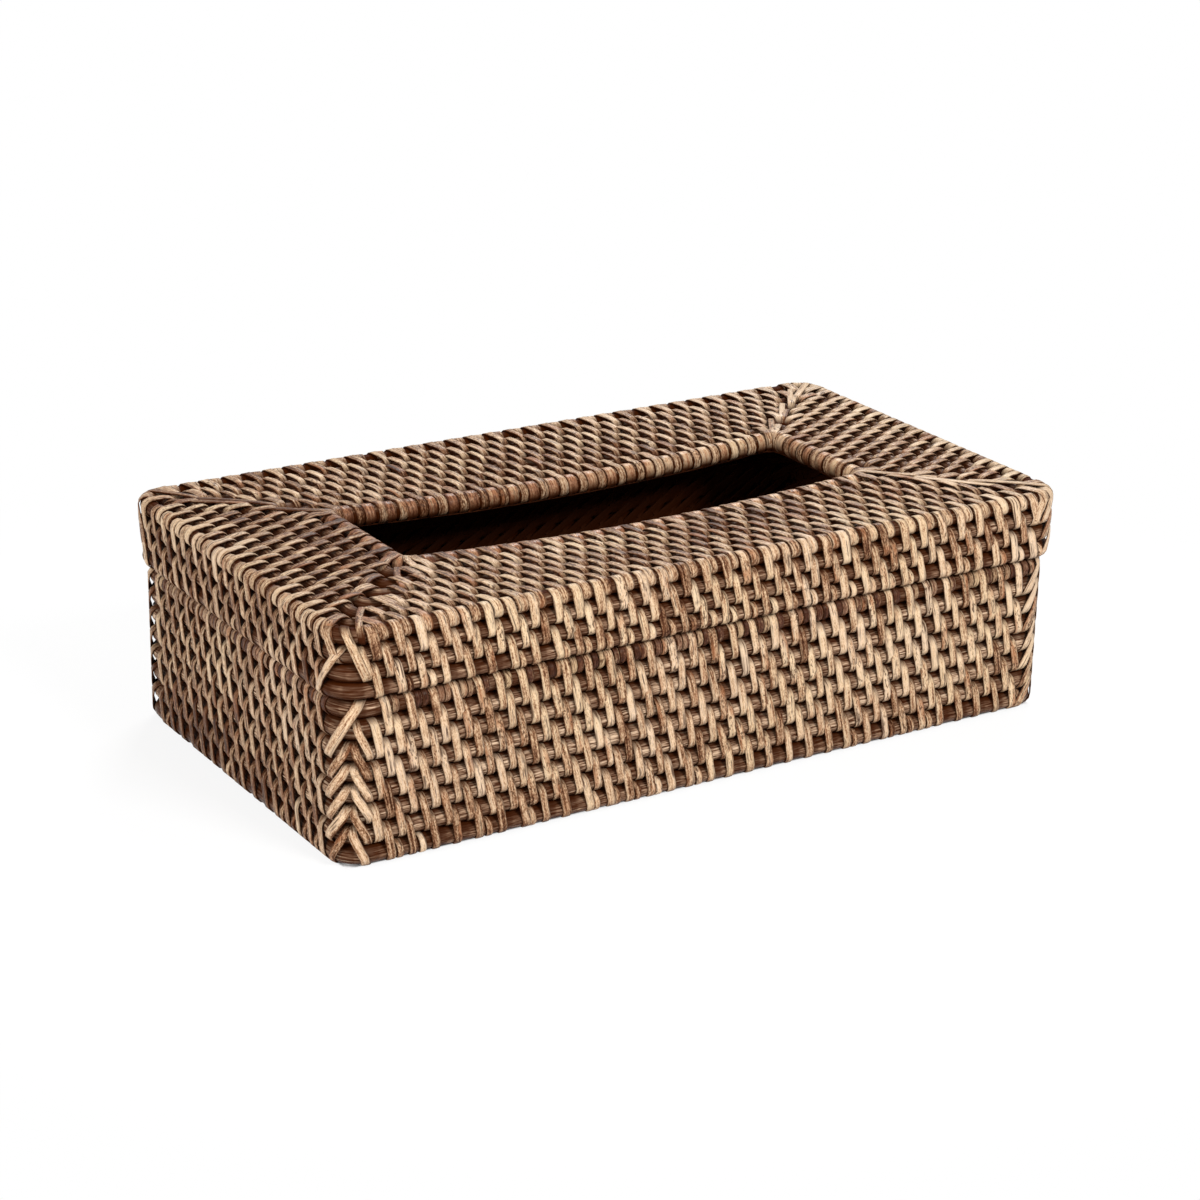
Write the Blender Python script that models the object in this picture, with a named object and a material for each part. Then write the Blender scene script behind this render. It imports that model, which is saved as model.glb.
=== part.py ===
"""Tissue box cover of lashed rattan: a deep base and a lid with a long slot.

Thick canes are bent into hoops and stacked in rows. A split strip binds each row to the next:
outside it crosses both canes in a short leaning stitch, and inside it runs back to the next
stitch. The model stands on z = 0 with its long side along X, in metres.
"""
import bpy
import bmesh
from math import cos, sin, pi, sqrt
from mathutils import Vector

# Overall size of the closed box in plan, over the strips
LENGTH = 0.270
WIDTH = 0.147
CORNER_RADIUS = 0.011

# Canes: the lid's, the stouter ones of the base's wall, and the one round the slot
CANE_DIAMETER = 0.0048
BASE_CANE_DIAMETER = 0.0057
SLOT_CANE_DIAMETER = 0.0062
CANE_SIDES = 8

# Split strip
STRIP_WIDTH = 0.0022
STRIP_THICKNESS = 0.0005
STRIP_CLEARANCE = 0.00025

# Rows. On the walls they lie tight, with room for the strip alone, and on the top a little apart.
# The top's long sides sag between the mitres, most beside the slot.
BASE_ROWS = 8
LID_SIDE_ROWS = 3
TOP_ROWS = 7
TOP_ROW_SLACK = 0.0004
TOP_SAG = 0.003
MITRE_INNER_RADIUS = 0.0014

# How the lid sits on the base
SEAM_GAP = 0.0003
LID_OVERHANG = 0.0018
LID_PLAY = 0.0004

# Stitches: each row's stitch stands a step along from the one above, and leans a little
STITCH_STEP = 0.0038
STITCH_LEAN = 0.0009
DRAW_IN_RUN = 0.006
DRAW_IN_SHARE = 0.7
LONG_SIDE_STITCH_COUNT = 2
SHORT_SIDE_STITCH_COUNT = 1

# Floor of straight canes
FLOOR_CANES = 21
FLOOR_CLEARANCE = 0.00015

CORNER_STEPS = 3
SAG_STEPS = 6
QUARTER = pi / 2
UP = Vector((0, 0, 1))

# Sizes that follow from the ones above
CANE_RADIUS = CANE_DIAMETER / 2
BASE_CANE_RADIUS = BASE_CANE_DIAMETER / 2
SLOT_CANE_RADIUS = SLOT_CANE_DIAMETER / 2
BEND_STEP = 2 * pi / CANE_SIDES
STRIP_LIFT = STRIP_THICKNESS / 2 / cos(BEND_STEP / 2)
STRIP_RISE = STRIP_CLEARANCE / cos(BEND_STEP / 2) + STRIP_LIFT
ENVELOPE_RADIUS = CANE_RADIUS + STRIP_RISE + STRIP_LIFT
BASE_ENVELOPE_RADIUS = BASE_CANE_RADIUS + STRIP_RISE + STRIP_LIFT
STRIP_ROOM = STRIP_THICKNESS + 2 * STRIP_CLEARANCE
BASE_PITCH = BASE_CANE_DIAMETER + STRIP_ROOM
LID_PITCH = CANE_DIAMETER + STRIP_ROOM
TOP_PITCH = CANE_DIAMETER + STRIP_ROOM + TOP_ROW_SLACK
SLOT_PITCH = CANE_RADIUS + SLOT_CANE_RADIUS + STRIP_ROOM + TOP_ROW_SLACK

LID_HALF_LENGTH = LENGTH / 2 - ENVELOPE_RADIUS
LID_HALF_WIDTH = WIDTH / 2 - ENVELOPE_RADIUS
LID_CORNER = CORNER_RADIUS - ENVELOPE_RADIUS
MITRE_CORNER = MITRE_INNER_RADIUS + CANE_RADIUS
SLOT_CORNER = MITRE_INNER_RADIUS + SLOT_CANE_RADIUS
LID_STEP_OUT = LID_OVERHANG + BASE_ENVELOPE_RADIUS - ENVELOPE_RADIUS
BASE_HALF_LENGTH = LID_HALF_LENGTH - LID_STEP_OUT
BASE_HALF_WIDTH = LID_HALF_WIDTH - LID_STEP_OUT
BASE_CORNER = CORNER_RADIUS - BASE_ENVELOPE_RADIUS

BASE_RIM_Z = BASE_ENVELOPE_RADIUS + (BASE_ROWS - 1) * BASE_PITCH
# The lid's strip rests on the flat that the base's strip makes beside the top of the rim cane
SEAT_REACH = BASE_ENVELOPE_RADIUS * cos(BEND_STEP / 2) + SEAM_GAP - LID_STEP_OUT * sin(BEND_STEP / 2)
LID_FOOT_Z = BASE_RIM_Z + SEAT_REACH / cos(BEND_STEP / 2)
LID_BOTTOM_Z = LID_FOOT_Z + ENVELOPE_RADIUS
EDGE_Z = LID_BOTTOM_Z + LID_SIDE_ROWS * LID_PITCH
# The slot's cane is level with the others on top
SLOT_CANE_Z = EDGE_Z + CANE_RADIUS - SLOT_CANE_RADIUS

# The lid's courses run from this many steps before its middle to as many after it
LID_HALF_STEPS = (TOP_ROWS + LID_SIDE_ROWS - 1) / 2

SIDES = ("front", "right", "back", "left")


class Hoop:
    """Centre line of a cane hoop: a rounded rectangle at one height.

    Its long sides may sag in a parabola, from nothing at the corners to the sag in the middle.
    """

    def __init__(self, half_length, half_width, corner, height, cane_radius, sag=0):
        self.half_length = half_length
        self.half_width = half_width
        self.corner = corner
        self.height = height
        self.cane_radius = cane_radius
        self.sag = sag

    def mixed(self, other, share):
        """The hoop that lies a share of the way from this one to another."""
        def mix(a, b):
            return a + (b - a) * share
        return Hoop(mix(self.half_length, other.half_length), mix(self.half_width, other.half_width),
                    mix(self.corner, other.corner), mix(self.height, other.height),
                    mix(self.cane_radius, other.cane_radius), mix(self.sag, other.sag))

    def strip_radius(self):
        """Distance of the strip's middle from the centre line."""
        return self.cane_radius + STRIP_RISE

    def on_side(self, side, along):
        """Point on a straight side, with the distance along it measured from its middle."""
        direction, normal = side_frame(side)
        reach = self.half_width if side % 2 == 0 else self.half_length
        drop = 0
        if side % 2 == 0:
            run = self.half_length - self.corner
            drop = self.sag * (1 - along * along / (run * run))
        return direction * along + normal * reach + UP * (self.height - drop)

    def on_corner(self, side, turn):
        """Point on the corner that ends a side, at an angle from that side's normal."""
        direction, normal = side_frame(side)
        long_side = side % 2 == 0
        reach = self.half_width if long_side else self.half_length
        run = self.half_length if long_side else self.half_width
        centre = direction * (run - self.corner) + normal * (reach - self.corner)
        return centre + corner_normal(side, turn) * self.corner + UP * self.height


def side_frame(side):
    """Direction of travel, anticlockwise from above, and outward normal of a side."""
    angle = side * QUARTER
    direction = Vector((cos(angle), sin(angle), 0))
    return direction, direction.cross(UP)


def corner_normal(side, turn):
    direction, normal = side_frame(side)
    return normal * cos(turn) + direction * sin(turn)


def material(name, colour, roughness):
    """Principled material of one finish."""
    made = bpy.data.materials.get(name) or bpy.data.materials.new(name)
    made.use_nodes = True
    shader = made.node_tree.nodes["Principled BSDF"]
    shader.inputs["Base Color"].default_value = (*colour, 1)
    shader.inputs["Roughness"].default_value = roughness
    shader.inputs["Metallic"].default_value = 0
    return made


def cane_material():
    return material("brown_cane", (0.16, 0.085, 0.045), 0.55)


def strip_material():
    return material("split_strip", (0.52, 0.36, 0.21), 0.45)


def floor_material():
    return material("floor_cane", (0.22, 0.13, 0.07), 0.6)


def sweep(name, sections, closed, finish, body, height):
    """Solid through a run of equal sections, joined end to end or capped, set on its body."""
    mesh = bmesh.new()
    origin = UP * height
    rings = [[mesh.verts.new(point - origin) for point in section] for section in sections]
    pairs = list(zip(rings, rings[1:]))
    if closed:
        pairs.append((rings[-1], rings[0]))
    else:
        mesh.faces.new(reversed(rings[0]))
        mesh.faces.new(rings[-1])
    for ring, following in pairs:
        for a, b, c, d in zip(ring, ring[1:] + ring[:1], following[1:] + following[:1], following):
            mesh.faces.new((a, b, c, d))
    bmesh.ops.recalc_face_normals(mesh, faces=mesh.faces)
    data = bpy.data.meshes.new(name)
    mesh.to_mesh(data)
    mesh.free()
    data.shade_smooth()
    data.set_sharp_from_angle(angle=QUARTER * 2 / 3)
    data.materials.append(finish)
    node = bpy.data.objects.new(name, data)
    bpy.context.collection.objects.link(node)
    node.parent = body
    node.location = origin - body.location
    return node


def body_empty(name, height):
    """Empty on the lifting axis, which the pieces of one half are parented to."""
    empty = bpy.data.objects.new(name, None)
    bpy.context.collection.objects.link(empty)
    empty.location = UP * height
    return empty


def round_section(centre, outward, across, radius, turned=0):
    """Cane section: a regular polygon round a point of the centre line."""
    angles = [turned + BEND_STEP * k for k in range(CANE_SIDES)]
    return [centre + (outward * cos(a) + across * sin(a)) * radius for a in angles]


def sag_places(hoop, side):
    """Places along a side where a sagging hoop bends, in the order of travel."""
    if not hoop.sag or side % 2:
        return []
    run = hoop.half_length - hoop.corner
    return [run * (2 * step / SAG_STEPS - 1) for step in range(1, SAG_STEPS)]


def hoop_cane(name, hoop, body):
    """Cane bent into a closed hoop, with its joint hidden as on the real one."""
    sections = []
    for side in range(len(SIDES)):
        for along in sag_places(hoop, side):
            centre = hoop.on_side(side, along)
            sections.append(round_section(centre, corner_normal(side, 0), UP, hoop.cane_radius))
        for step in range(CORNER_STEPS + 1):
            turn = QUARTER * step / CORNER_STEPS
            centre = hoop.on_corner(side, turn)
            sections.append(round_section(centre, corner_normal(side, turn), UP, hoop.cane_radius))
    return sweep(name, sections, True, cane_material(), body, hoop.height)


def straight_cane(name, half_length, y, height, body):
    """Straight floor cane along X, with a flat of its polygon facing down."""
    ends = (Vector((-half_length, y, height)), Vector((half_length, y, height)))
    sections = [round_section(end, Vector((0, -1, 0)), UP, CANE_RADIUS, BEND_STEP / 2) for end in ends]
    return sweep(name, sections, False, floor_material(), body, height)


def strip_section(point, outward, arriving, leaving):
    """Flat-backed, crowned section of the strip, mitred where the path turns."""
    flat_in = (arriving - outward * arriving.dot(outward)).normalized()
    flat_out = (leaving - outward * leaving.dot(outward)).normalized()
    across = outward.cross(flat_in + flat_out).normalized()
    half_turn = sqrt((1 + flat_in.dot(flat_out)) / 2)
    half_width = STRIP_WIDTH / 2 / half_turn
    back = point - outward * STRIP_LIFT
    return [back - across * half_width, back + across * half_width, point + outward * STRIP_LIFT]


class Pair:
    """Two neighbouring hoops, upper (or inner) and lower (or outer), bound by one strip."""

    def __init__(self, upper, lower, shift):
        self.upper = upper
        self.lower = lower
        self.shift = shift
        self.flat = upper.half_width != lower.half_width

    def frame(self, side, along):
        """Both cane centres at a stitch, the ways across the rows, outward and along, and the
        way that the strip faces where it crosses from one cane to the other."""
        direction, normal = side_frame(side)
        first = self.upper.on_side(side, along)
        second = self.lower.on_side(side, along)
        across, outward = (normal, UP) if self.flat else (-UP, normal)
        return first, second, across, outward, direction, (second - first).cross(direction).normalized()

    def stations(self):
        """Places of the stitches, clockwise from above, as side and distance along it."""
        slot_long = slot_hoop().half_length - SLOT_CORNER
        slot_short = slot_hoop().half_width - SLOT_CORNER
        places = []
        for side in reversed(range(len(SIDES))):
            count = LONG_SIDE_STITCH_COUNT if side % 2 == 0 else SHORT_SIDE_STITCH_COUNT
            run = slot_long if side % 2 == 0 else slot_short
            for k in reversed(range(count)):
                places.append((side, (2 * k + 1 - count) / count * run + self.shift))
        return places

    def hidden_run(self, side, along, next_side, next_along):
        """Points of the strip's run behind the canes, from one stitch to the next.

        It climbs evenly from the lower cane to the upper one, and follows their sag. Under the
        top it draws in quickly at first, so that it leaves the corner to the course below.
        """
        flat = self.flat
        turns = side != next_side
        next_reach = self.upper.half_length if next_side % 2 == 0 else self.upper.half_width
        reach = self.upper.half_length if side % 2 == 0 else self.upper.half_width
        to_corner = reach + along
        total = to_corner + next_reach - next_along if turns else along - next_along
        knee = DRAW_IN_RUN / total if flat else 0
        drawn = DRAW_IN_SHARE if flat else 0

        def rail_at(run):
            return self.lower.mixed(self.upper, drawn + (1 - drawn) * (run / total - knee) / (1 - knee))

        def on_side(rail, rail_side, place):
            facing = -UP if flat else -side_frame(rail_side)[1]
            return rail.on_side(rail_side, place) + facing * rail.strip_radius(), facing

        def sagging(rail_side, start, end, before):
            """Points between two places of a side, where the canes bend with their sag."""
            places = [p for p in reversed(sag_places(self.upper, rail_side)) if end < p < start]
            return [on_side(rail_at(before + start - p), rail_side, p) for p in places]

        points = []
        if flat:
            points.append(on_side(self.lower.mixed(self.upper, drawn), side, along - DRAW_IN_RUN))
            points += sagging(side, along - DRAW_IN_RUN, next_along if not turns else -reach, DRAW_IN_RUN)
        if turns:
            rail = rail_at(to_corner)
            for step in reversed(range(CORNER_STEPS + 1)):
                turn = QUARTER * step / CORNER_STEPS
                facing = -UP if flat else -corner_normal(next_side, turn)
                points.append((rail.on_corner(next_side, turn) + facing * rail.strip_radius(), facing))
            if flat:
                points += sagging(next_side, next_reach, next_along, to_corner)
        return points

    def path(self):
        """The strip's whole route, as points with the way that the strip's crown faces."""
        route = []
        places = self.stations()
        bend = [BEND_STEP * k for k in range(1, CANE_SIDES // 2)]
        above, below = self.upper.strip_radius(), self.lower.strip_radius()
        for number, (side, along) in enumerate(places):
            first, second, across, outward, direction, crown = self.frame(side, along)
            second = second + direction * STITCH_LEAN
            if number:
                route.append((first - outward * above, -outward))
                for angle in bend:
                    facing = -outward * cos(angle) - across * sin(angle)
                    route.append((first + facing * above, facing))
            route.append((first + crown * above, crown))
            route.append((second + crown * below, crown))
            for angle in bend:
                facing = outward * cos(angle) + across * sin(angle)
                route.append((second + facing * below, facing))
            if number + 1 < len(places):
                route.append((second - outward * below, -outward))
                route += self.hidden_run(side, along, *places[number + 1])
        return route


def lashing(name, pair, body):
    """Split strip wound round two hoops, one unbroken length."""
    route = pair.path()
    sections = []
    for k, (point, outward) in enumerate(route):
        before = route[max(k - 1, 0)][0]
        after = route[min(k + 1, len(route) - 1)][0]
        arriving = (point - before if k else after - point).normalized()
        leaving = (after - point if k + 1 < len(route) else point - before).normalized()
        sections.append(strip_section(point, outward, arriving, leaving))
    return sweep(name, sections, False, strip_material(), body, pair.upper.height)


def base_hoop(row):
    """Hoop of a row of the base, counted from 0 at the rim."""
    return Hoop(BASE_HALF_LENGTH, BASE_HALF_WIDTH, BASE_CORNER, BASE_RIM_Z - row * BASE_PITCH,
                BASE_CANE_RADIUS)


def lid_side_hoop(row):
    """Hoop of a row of the lid's side, counted from 0 at the edge."""
    return Hoop(LID_HALF_LENGTH, LID_HALF_WIDTH, LID_CORNER, EDGE_Z - row * LID_PITCH, CANE_RADIUS)


def top_hoop(row):
    """Mitred hoop of the top, counted from 1 beside the edge inwards."""
    inset = row * TOP_PITCH
    return Hoop(LID_HALF_LENGTH - inset, LID_HALF_WIDTH - inset, MITRE_CORNER, EDGE_Z, CANE_RADIUS,
                TOP_SAG * row / TOP_ROWS)


def slot_hoop():
    """The stout hoop round the slot, the last of the top's rows."""
    inset = (TOP_ROWS - 1) * TOP_PITCH + SLOT_PITCH
    return Hoop(LID_HALF_LENGTH - inset, LID_HALF_WIDTH - inset, SLOT_CORNER, SLOT_CANE_Z, SLOT_CANE_RADIUS,
                TOP_SAG)


def locating_hoop():
    """Hoop nested on the base's rim from inside, clear of the lid's side by the play."""
    inset = ENVELOPE_RADIUS + LID_PLAY + CANE_RADIUS - LID_STEP_OUT
    reach = BASE_ENVELOPE_RADIUS + STRIP_CLEARANCE + CANE_RADIUS
    rise = sqrt(reach * reach - inset * inset)
    return Hoop(BASE_HALF_LENGTH - inset, BASE_HALF_WIDTH - inset, BASE_CORNER - inset,
                BASE_RIM_Z + rise, CANE_RADIUS)


def lashed_rows(prefix, hoops, first_steps, body):
    """One strip for each pair of neighbouring hoops, each a step along from the last."""
    for k, (upper, lower) in enumerate(zip(hoops, hoops[1:])):
        lashing(f"{prefix}_{k + 1}", Pair(upper, lower, (first_steps + k) * STITCH_STEP), body)


def build_base(body):
    """Wall of the base. Its first course stands under the lid's last one, stitch on stitch."""
    hoops = [base_hoop(row) for row in range(BASE_ROWS)]
    hoop_cane("base_rim_cane", hoops[0], body)
    for row in range(1, BASE_ROWS):
        hoop_cane(f"base_cane_{row + 1}", hoops[row], body)
    hoop_cane("base_locating_cane", locating_hoop(), body)
    lashed_rows("base_lashing", hoops, LID_HALF_STEPS, body)


def build_floor(body):
    """Straight canes laid side by side, cut to follow the rounded corners of the bottom hoop."""
    inset = BASE_ENVELOPE_RADIUS + FLOOR_CLEARANCE
    half_length = BASE_HALF_LENGTH - inset
    half_width = BASE_HALF_WIDTH - inset
    corner = BASE_CORNER - inset
    pitch = 2 * (half_width - CANE_RADIUS) / (FLOOR_CANES - 1)
    for k in range(FLOOR_CANES):
        y = k * pitch - half_width + CANE_RADIUS
        into_corner = max(0, abs(y) + CANE_RADIUS - half_width + corner)
        reach = half_length - corner + sqrt(max(0, corner * corner - into_corner * into_corner))
        straight_cane(f"floor_cane_{k + 1}", reach, y, CANE_RADIUS * cos(BEND_STEP / 2), body)


def build_lid(body):
    hoops = [slot_hoop()] + [top_hoop(row) for row in range(TOP_ROWS - 1, 0, -1)]
    hoops += [lid_side_hoop(row) for row in range(LID_SIDE_ROWS + 1)]
    hoop_cane("slot_rim_cane", hoops[0], body)
    for row in range(1, TOP_ROWS):
        hoop_cane(f"lid_top_cane_{row}", top_hoop(row), body)
    hoop_cane("lid_edge_cane", lid_side_hoop(0), body)
    for row in range(1, LID_SIDE_ROWS + 1):
        hoop_cane(f"lid_side_cane_{row}", lid_side_hoop(row), body)
    lashed_rows("lid_lashing", hoops, -LID_HALF_STEPS, body)


for old in list(bpy.data.objects):
    bpy.data.objects.remove(old)

base = body_empty("base", 0)
build_base(base)
build_floor(base)
build_lid(body_empty("lid", LID_FOOT_Z))
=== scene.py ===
"""Looks of a lashed rattan tissue box cover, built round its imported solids.

Thick canes are bent into hoops and laid row on row. One split strip binds each row to the
next, and the strips are what the eye sees: short leaning stitches, two side by side on each
cane, with bare cane between.
"""
import bpy
import numpy as np
from mathutils import Matrix, Vector


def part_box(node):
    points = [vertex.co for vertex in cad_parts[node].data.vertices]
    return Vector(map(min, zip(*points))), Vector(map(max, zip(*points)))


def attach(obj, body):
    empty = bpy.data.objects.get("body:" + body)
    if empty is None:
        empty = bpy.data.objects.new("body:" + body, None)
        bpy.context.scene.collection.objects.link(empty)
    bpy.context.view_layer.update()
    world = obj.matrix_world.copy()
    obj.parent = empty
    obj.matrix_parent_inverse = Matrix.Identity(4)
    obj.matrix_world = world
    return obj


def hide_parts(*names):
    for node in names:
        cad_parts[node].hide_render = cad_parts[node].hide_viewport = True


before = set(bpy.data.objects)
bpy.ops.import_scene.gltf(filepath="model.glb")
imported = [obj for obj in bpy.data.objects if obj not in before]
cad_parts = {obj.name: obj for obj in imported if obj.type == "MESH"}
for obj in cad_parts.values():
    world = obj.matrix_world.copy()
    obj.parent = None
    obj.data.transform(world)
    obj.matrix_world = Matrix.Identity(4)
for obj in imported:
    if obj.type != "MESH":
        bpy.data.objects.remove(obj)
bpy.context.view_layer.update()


# Canes of the base's wall. The real ones are stout rattan, peeled, stained brown and steamed
# round a former into a hoop, with the two ends butted at the back under a stitch. They lie so
# tight that the rows touch.
BASE_CANE_RADIUS = 0.00285
BASE_CORNER = 0.00734
BASE_SWELL = 0.0001
ROW_OVERLAP = 0.00006
HOOP_BUTT = 0.0002
CANE_SIDES = 16
CORNER_RINGS = 9
RING_SPACING = 0.005
# Slow waves round a hoop: two in its thickness, by a share of it, and one in its line
HOOP_WAVES = (7, 19, 5)
SWELL_SHARE = 0.012
LINE_WANDER = 0.00008
# How sharp the low ridge is that meets the next row
RIDGE_POWER = 10
# Where round the section the painted shade starts, and over how much it deepens, as sines, on a
# flank that lies open and on one that touches its neighbour, and as a cosine on the inside
OPEN_SHADE_START = 0.72
OPEN_SHADE_RUN = 0.2
TOUCHING_SHADE_START = 0.48
TOUCHING_SHADE_RUN = 0.48
INSIDE_SHADE_START = -0.3
# A cane's grain starts at random within this many metres
CANE_GRAIN_RUN = 9
# Distance between two stitches of one course, and half the distance between the two that lie side
# by side on one cane, one from the course above it and one from the course below
STITCH_PERIOD = 0.0076
PAIR_SHIFT = 0.0006
UP = np.array([0, 0, 1.0])


def hoop_of(node, corner, radius, swell):
    """Centre line of a hoop, from its solid's box: half length, half width, corner, height, sag
    of the long sides, and the radius that shows, which is the solid's and a little swell."""
    low, high = (np.array(c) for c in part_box(node))
    return dict(half_length=high[0] - radius, half_width=high[1] - radius, corner=corner,
                height=high[2] - radius, sag=high[2] - low[2] - 2 * radius, radius=radius + swell)


def drop(hoop, x):
    """How far a long side sags at a place: its sag, less the share that is the place's distance
    from the middle over the straight run, squared, and nothing past the run."""
    run = hoop["half_length"] - hoop["corner"]
    return hoop["sag"] * np.clip(1 - (x / run) ** 2, 0, 1)


def plan_table(hoop):
    """Closed line in plan as a table of distance, x, y and outward normal.

    Four quarter circles, one for each corner and each anticlockwise, joined by straight sides.
    It starts at the left end of the front side.
    """
    turn = np.linspace(0, np.pi / 2, CORNER_RINGS)
    angle = (np.arange(4)[:, None] * np.pi / 2 - np.pi / 2 + turn).ravel()
    centre_x = np.repeat([1, 1, -1, -1], CORNER_RINGS) * (hoop["half_length"] - hoop["corner"])
    centre_y = np.repeat([-1, 1, 1, -1], CORNER_RINGS) * (hoop["half_width"] - hoop["corner"])
    x = centre_x + np.cos(angle) * hoop["corner"]
    y = centre_y + np.sin(angle) * hoop["corner"]
    x, y, angle = (np.append(a[-1], a) for a in (x, y, angle))
    distance = np.append(0, np.cumsum(np.hypot(np.diff(x), np.diff(y))))
    return dict(distance=distance, x=x, y=y, nx=np.cos(angle), ny=np.sin(angle))


def on_plan(table, s):
    """Points and outward normals at distances along a plan line, by linear interpolation."""
    s = np.mod(s, table["distance"][-1])
    x, y, nx, ny = (np.interp(s, table["distance"], table[k]) for k in ("x", "y", "nx", "ny"))
    size = np.hypot(nx, ny)
    flat = np.zeros_like(x)
    return np.stack([x, y, flat], -1), np.stack([nx / size, ny / size, flat], -1)


def sides_of(table):
    """Distances along a plan line where its four sides start and where they end, front side first."""
    distance = table["distance"]
    return distance[0::CORNER_RINGS][:4], distance[1::CORNER_RINGS][:4]


def stitch_phase(table, s, number):
    """Periods of the stitches passed at distances along a plan line: whole in the middle of each
    pair that lies side by side on a cane over the course with that number, and halves between.

    It is counted from each side's middle, and stretched over the corners so that it never jumps.
    """
    distance = table["distance"]
    starts, ends = sides_of(table)
    half = (ends - starts) / 2 / STITCH_PERIOD
    bend = (distance[CORNER_RINGS] - distance[1]) / STITCH_PERIOD
    passed = np.cumsum(np.round(np.roll(half, 1) + half + bend))
    knots = np.stack([starts, ends], 1).ravel()
    phases = (passed[:, None] + np.stack([-half, half], 1)).ravel()
    knots = np.append(knots, knots + distance[-1])
    phase = np.interp(s, knots, np.append(phases, phases + passed[-1]))
    return phase - number / 2 + PAIR_SHIFT / STITCH_PERIOD


def skin(name, grid, finish, grain, cast):
    """Closed mesh through a grid of points, rows along the piece and columns round its section.

    Each row of points is joined to the next by a band of quads, and the two ends are capped.
    grain is each point's place in the straightened cane or strip, and cast its colour numbers.
    """
    rows, columns = grid.shape[:2]
    index = np.arange(rows * columns).reshape(rows, columns)
    here, there = index[:-1], index[1:]
    quads = np.stack([here, np.roll(here, -1, 1), np.roll(there, -1, 1), there], -1).reshape(-1, 4)
    caps = [index[0, ::-1].tolist(), index[-1].tolist()]
    mesh = bpy.data.meshes.new(name)
    mesh.from_pydata(grid.reshape(-1, 3), [], quads.tolist() + caps)
    mesh.shade_smooth()
    mesh.materials.append(finish)
    for label, values in (("grain", grain), ("cast", cast)):
        spread = np.broadcast_to(values, (rows, columns, 3)).astype(np.float32)
        mesh.attributes.new(label, "FLOAT_VECTOR", "POINT").data.foreach_set("vector", spread.ravel())
    piece = bpy.data.objects.new(name, mesh)
    bpy.context.scene.collection.objects.link(piece)
    return piece


def placed(piece, body, slot, *nodes):
    """Sets a piece on its body, in place of the nodes that it stands for. Its slot is not used."""
    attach(piece, body)
    if nodes:
        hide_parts(*nodes)


class Nodes:
    """A socket that takes the usual operators, for writing shader sums as expressions.

    A socket's name is written with _ for a space, or as i and its number.
    """

    def __init__(self, tree, socket=None):
        self.tree = tree
        self.socket = socket

    def node(self, kind, settings=None, out=0, **sockets):
        """A node of one type, with its settings made first and its sockets set or linked."""
        made = self.tree.nodes.new(kind)
        for key, value in (settings or {}).items():
            if key == "stops":
                ramp = made.color_ramp
                while len(ramp.elements) < len(value):
                    ramp.elements.new(0.5)
                for element, (place, colour) in zip(ramp.elements, value):
                    element.position = place
                    element.color = (*colour, 1)
            else:
                setattr(made, key, value)
        for key, value in sockets.items():
            numbered = key[0] == "i" and key[1:].isdigit()
            target = made.inputs[int(key[1:]) if numbered else key.replace("_", " ")]
            if isinstance(value, Nodes):
                self.tree.links.new(value.socket, target)
            else:
                target.default_value = value
        return Nodes(self.tree, made.outputs[out])

    def maths(self, operation, *values):
        """One sum, product or other function of sockets and numbers."""
        sockets = {f"i{k}": v for k, v in enumerate(values)}
        return self.node("ShaderNodeMath", {"operation": operation}, **sockets)

    def __add__(self, other):
        return self.maths("ADD", self, other)

    def __sub__(self, other):
        return self.maths("SUBTRACT", self, other)

    def __rsub__(self, other):
        return self.maths("SUBTRACT", other, self)

    def __mul__(self, other):
        return self.maths("MULTIPLY", self, other)

    __radd__ = __add__
    __rmul__ = __mul__

    def between(self, low, high):
        """0 below the low value, 1 above the high one, and a smooth rise from one to the other."""
        return self.node("ShaderNodeMapRange", {"interpolation_type": "SMOOTHSTEP"}, Value=self,
                         From_Min=low, From_Max=high)

    def noise(self, place, scale, detail):
        """Smooth noise, with its scale in spots a metre, as one number or one for each axis."""
        if isinstance(scale, tuple):
            place = self.node("ShaderNodeVectorMath", {"operation": "MULTIPLY"}, i0=place, i1=scale)
            scale = 1.0
        return self.node("ShaderNodeTexNoise", Vector=place, Scale=scale, Detail=detail)

    def attribute(self, name):
        """The three numbers that a piece's mesh carries at each point under a name."""
        return self.node("ShaderNodeAttribute", {"attribute_name": name}, out=1)

    def split(self, vector):
        """The three numbers of a vector, each as a socket of its own."""
        parts = self.node("ShaderNodeSeparateXYZ", Vector=vector).socket.node.outputs
        return [Nodes(self.tree, part) for part in parts]

    def blend(self, low, high):
        """One colour where this socket is 0 and another where it is 1."""
        return self.node("ShaderNodeMix", {"data_type": "RGBA"}, out=2, i0=self, i6=low, i7=high)


def new_finish(name):
    """A material with its Principled shader, and the wrapper that makes nodes in it."""
    finish = bpy.data.materials.new(name)
    finish.use_nodes = True
    shader = finish.node_tree.nodes["Principled BSDF"]
    return finish, shader, Nodes(finish.node_tree)


def feed(shader, maker, **sockets):
    """Sets a shader's sockets, named with _ for a space, to values or links them."""
    for key, value in sockets.items():
        target = shader.inputs[key.replace("_", " ")]
        if isinstance(value, Nodes):
            maker.tree.links.new(value.socket, target)
        else:
            target.default_value = value


# Colour painted as shade where rows meet, beside the stitches, behind the canes and on the inside
SHADE_COLOUR = (0.035, 0.0070, 0.0008, 1)
CANE_STOPS = [(0.0, (0.028, 0.008, 0.003)), (0.25, (0.066, 0.027, 0.013)),
              (0.5, (0.130, 0.067, 0.039)), (0.75, (0.28, 0.172, 0.106)), (1.0, (0.56, 0.40, 0.27))]
# Heights over a cane's middle between which its crown is painted paler, a painted highlight
# along the cane, and the depth of its fibres
HIGHLIGHT_START = 0.0006
HIGHLIGHT_END = 0.0028
FIBRE_DEPTH = 0.0003
FIBRE_SCALE = (190, 2300, 2300)
PATCH_SCALE = (40, 120, 120)


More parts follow.
